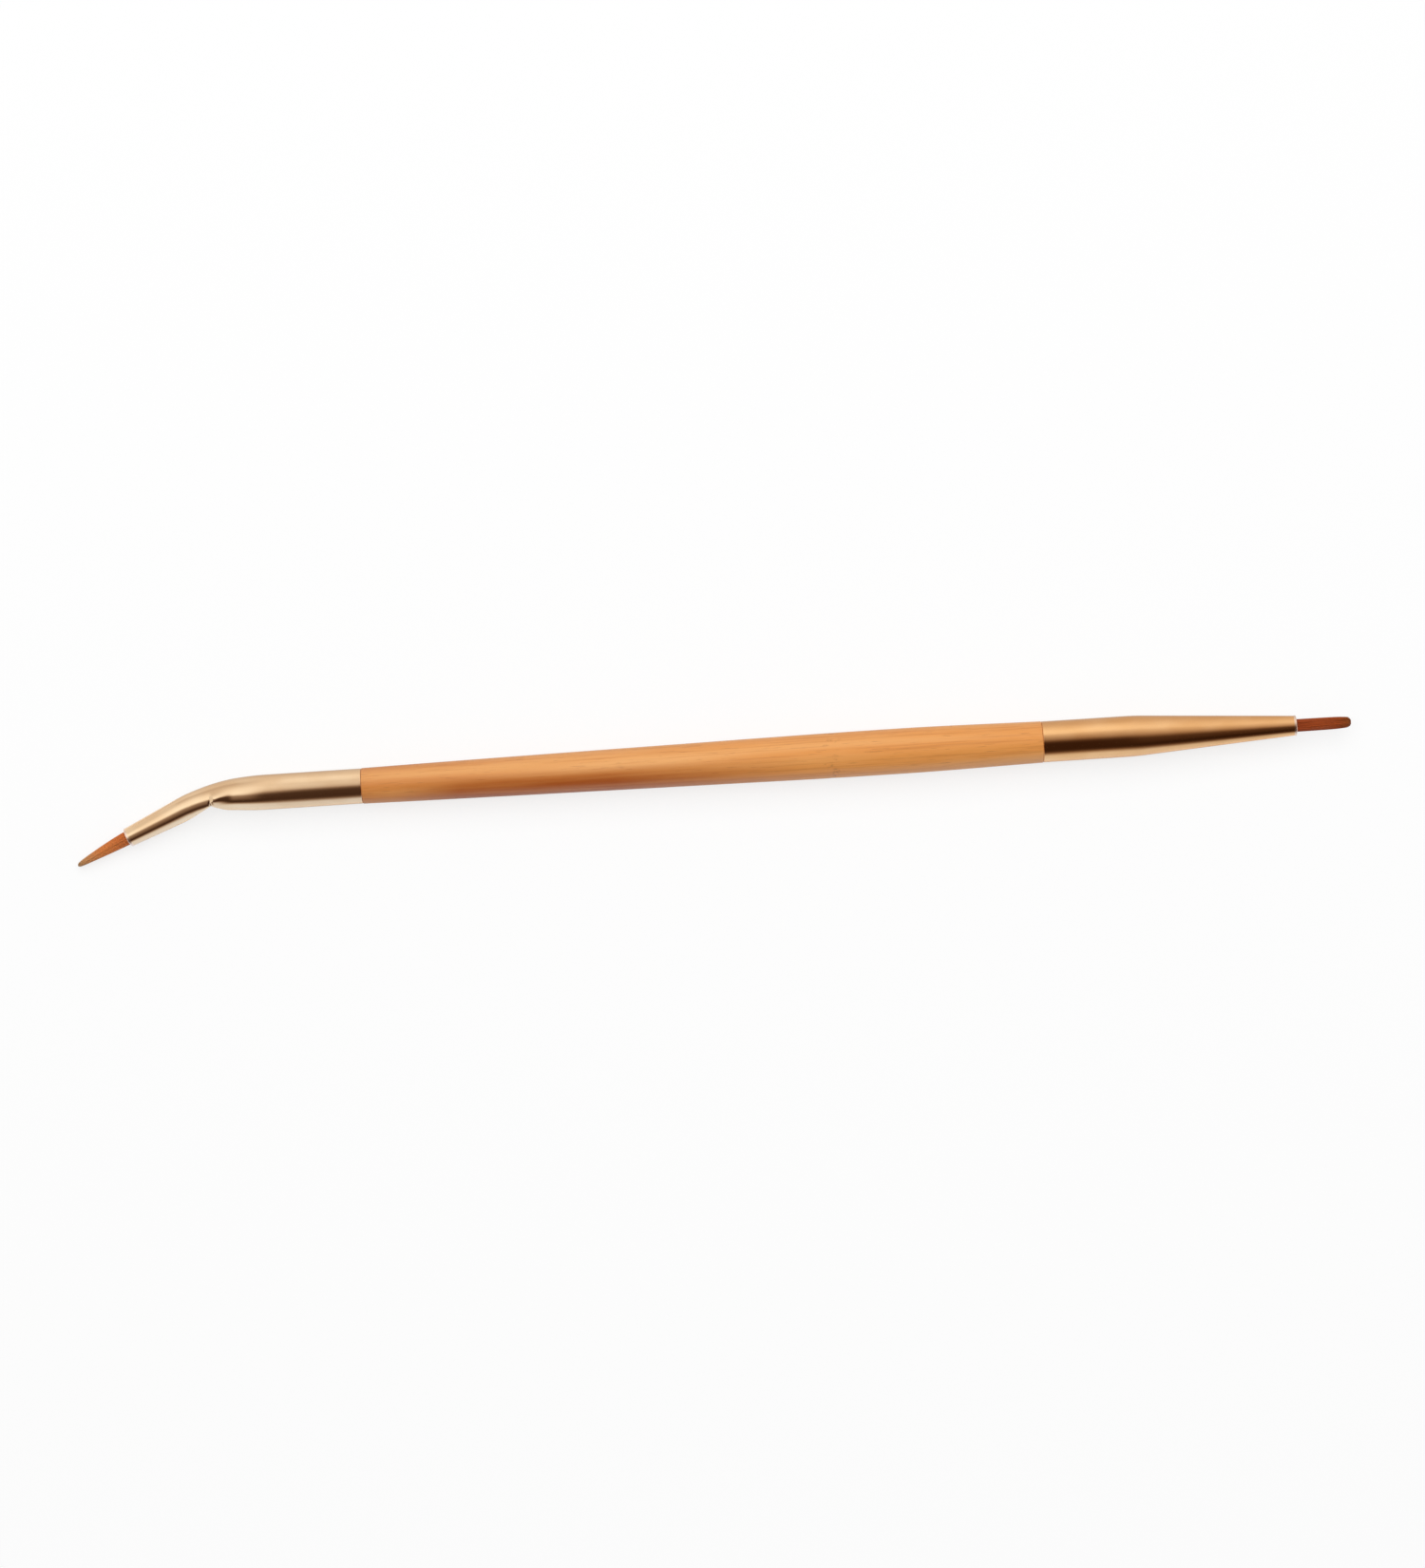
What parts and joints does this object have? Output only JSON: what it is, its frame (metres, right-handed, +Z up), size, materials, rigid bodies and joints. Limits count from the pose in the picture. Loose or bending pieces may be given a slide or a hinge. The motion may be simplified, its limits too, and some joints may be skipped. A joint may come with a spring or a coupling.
{
  "type": "double-ended eyeliner brush",
  "caption": "Double-ended eyeliner brush: turned bamboo handle, one bent ferrule with a wedge tuft, one straight tapered ferrule with a short blunt tuft.",
  "frame": {"origin": "bottom centre of the brush's bounding box, on the surface that it lies on", "axes": "+X along the handle towards the straight end, +Z up; the bent end points to -X and bends towards -Y"},
  "size_m": [0.1722, 0.0116, 0.0061],
  "materials": {
    "bamboo": "satin clear lacquer on fine straight bamboo grain",
    "ferrule_metal": "polished, champagne to rose gold colour",
    "two_tone_hair": "fine synthetic hair, rust at the root and golden orange at the tip",
    "rust_hair": "fine synthetic hair, rust brown",
    "resin": "cured clear epoxy",
    "tie_thread": "plain white thread",
    "glue": "cured contact glue"
  },
  "bodies": {
    "brush_stick": {"bamboo_handle": "bamboo", "bent_ferrule": "ferrule_metal", "straight_ferrule": "ferrule_metal", "bent_tuft_resin": "resin", "straight_tuft_resin": "resin", "bent_tuft_tie": "tie_thread", "straight_tuft_tie": "tie_thread", "bent_handle_glue": "glue", "straight_handle_glue": "glue"},
    "bent_hair": {"bent_tuft": "two_tone_hair"},
    "straight_hair": {"straight_tuft": "rust_hair"}
  },
  "joints": [
    {"name": "bent_tuft_flex", "type": "hinge", "parent": "brush_stick", "child": "bent_hair", "pos_m": [-0.07898, -0.00213, 0.00164], "axis": [0, -0.2762, 0.9611], "range_deg": [-25, 25], "stiffness_Nm_per_rad": 0.0012, "deforming": ["bent_tuft"]},
    {"name": "straight_tuft_flex", "type": "hinge", "parent": "brush_stick", "child": "straight_hair", "pos_m": [0.07874, 0.00278, 0.00305], "axis": [0, 0.9611, 0.2762], "range_deg": [-20, 20], "stiffness_Nm_per_rad": 0.0018, "deforming": ["straight_tuft"]}
  ]
}
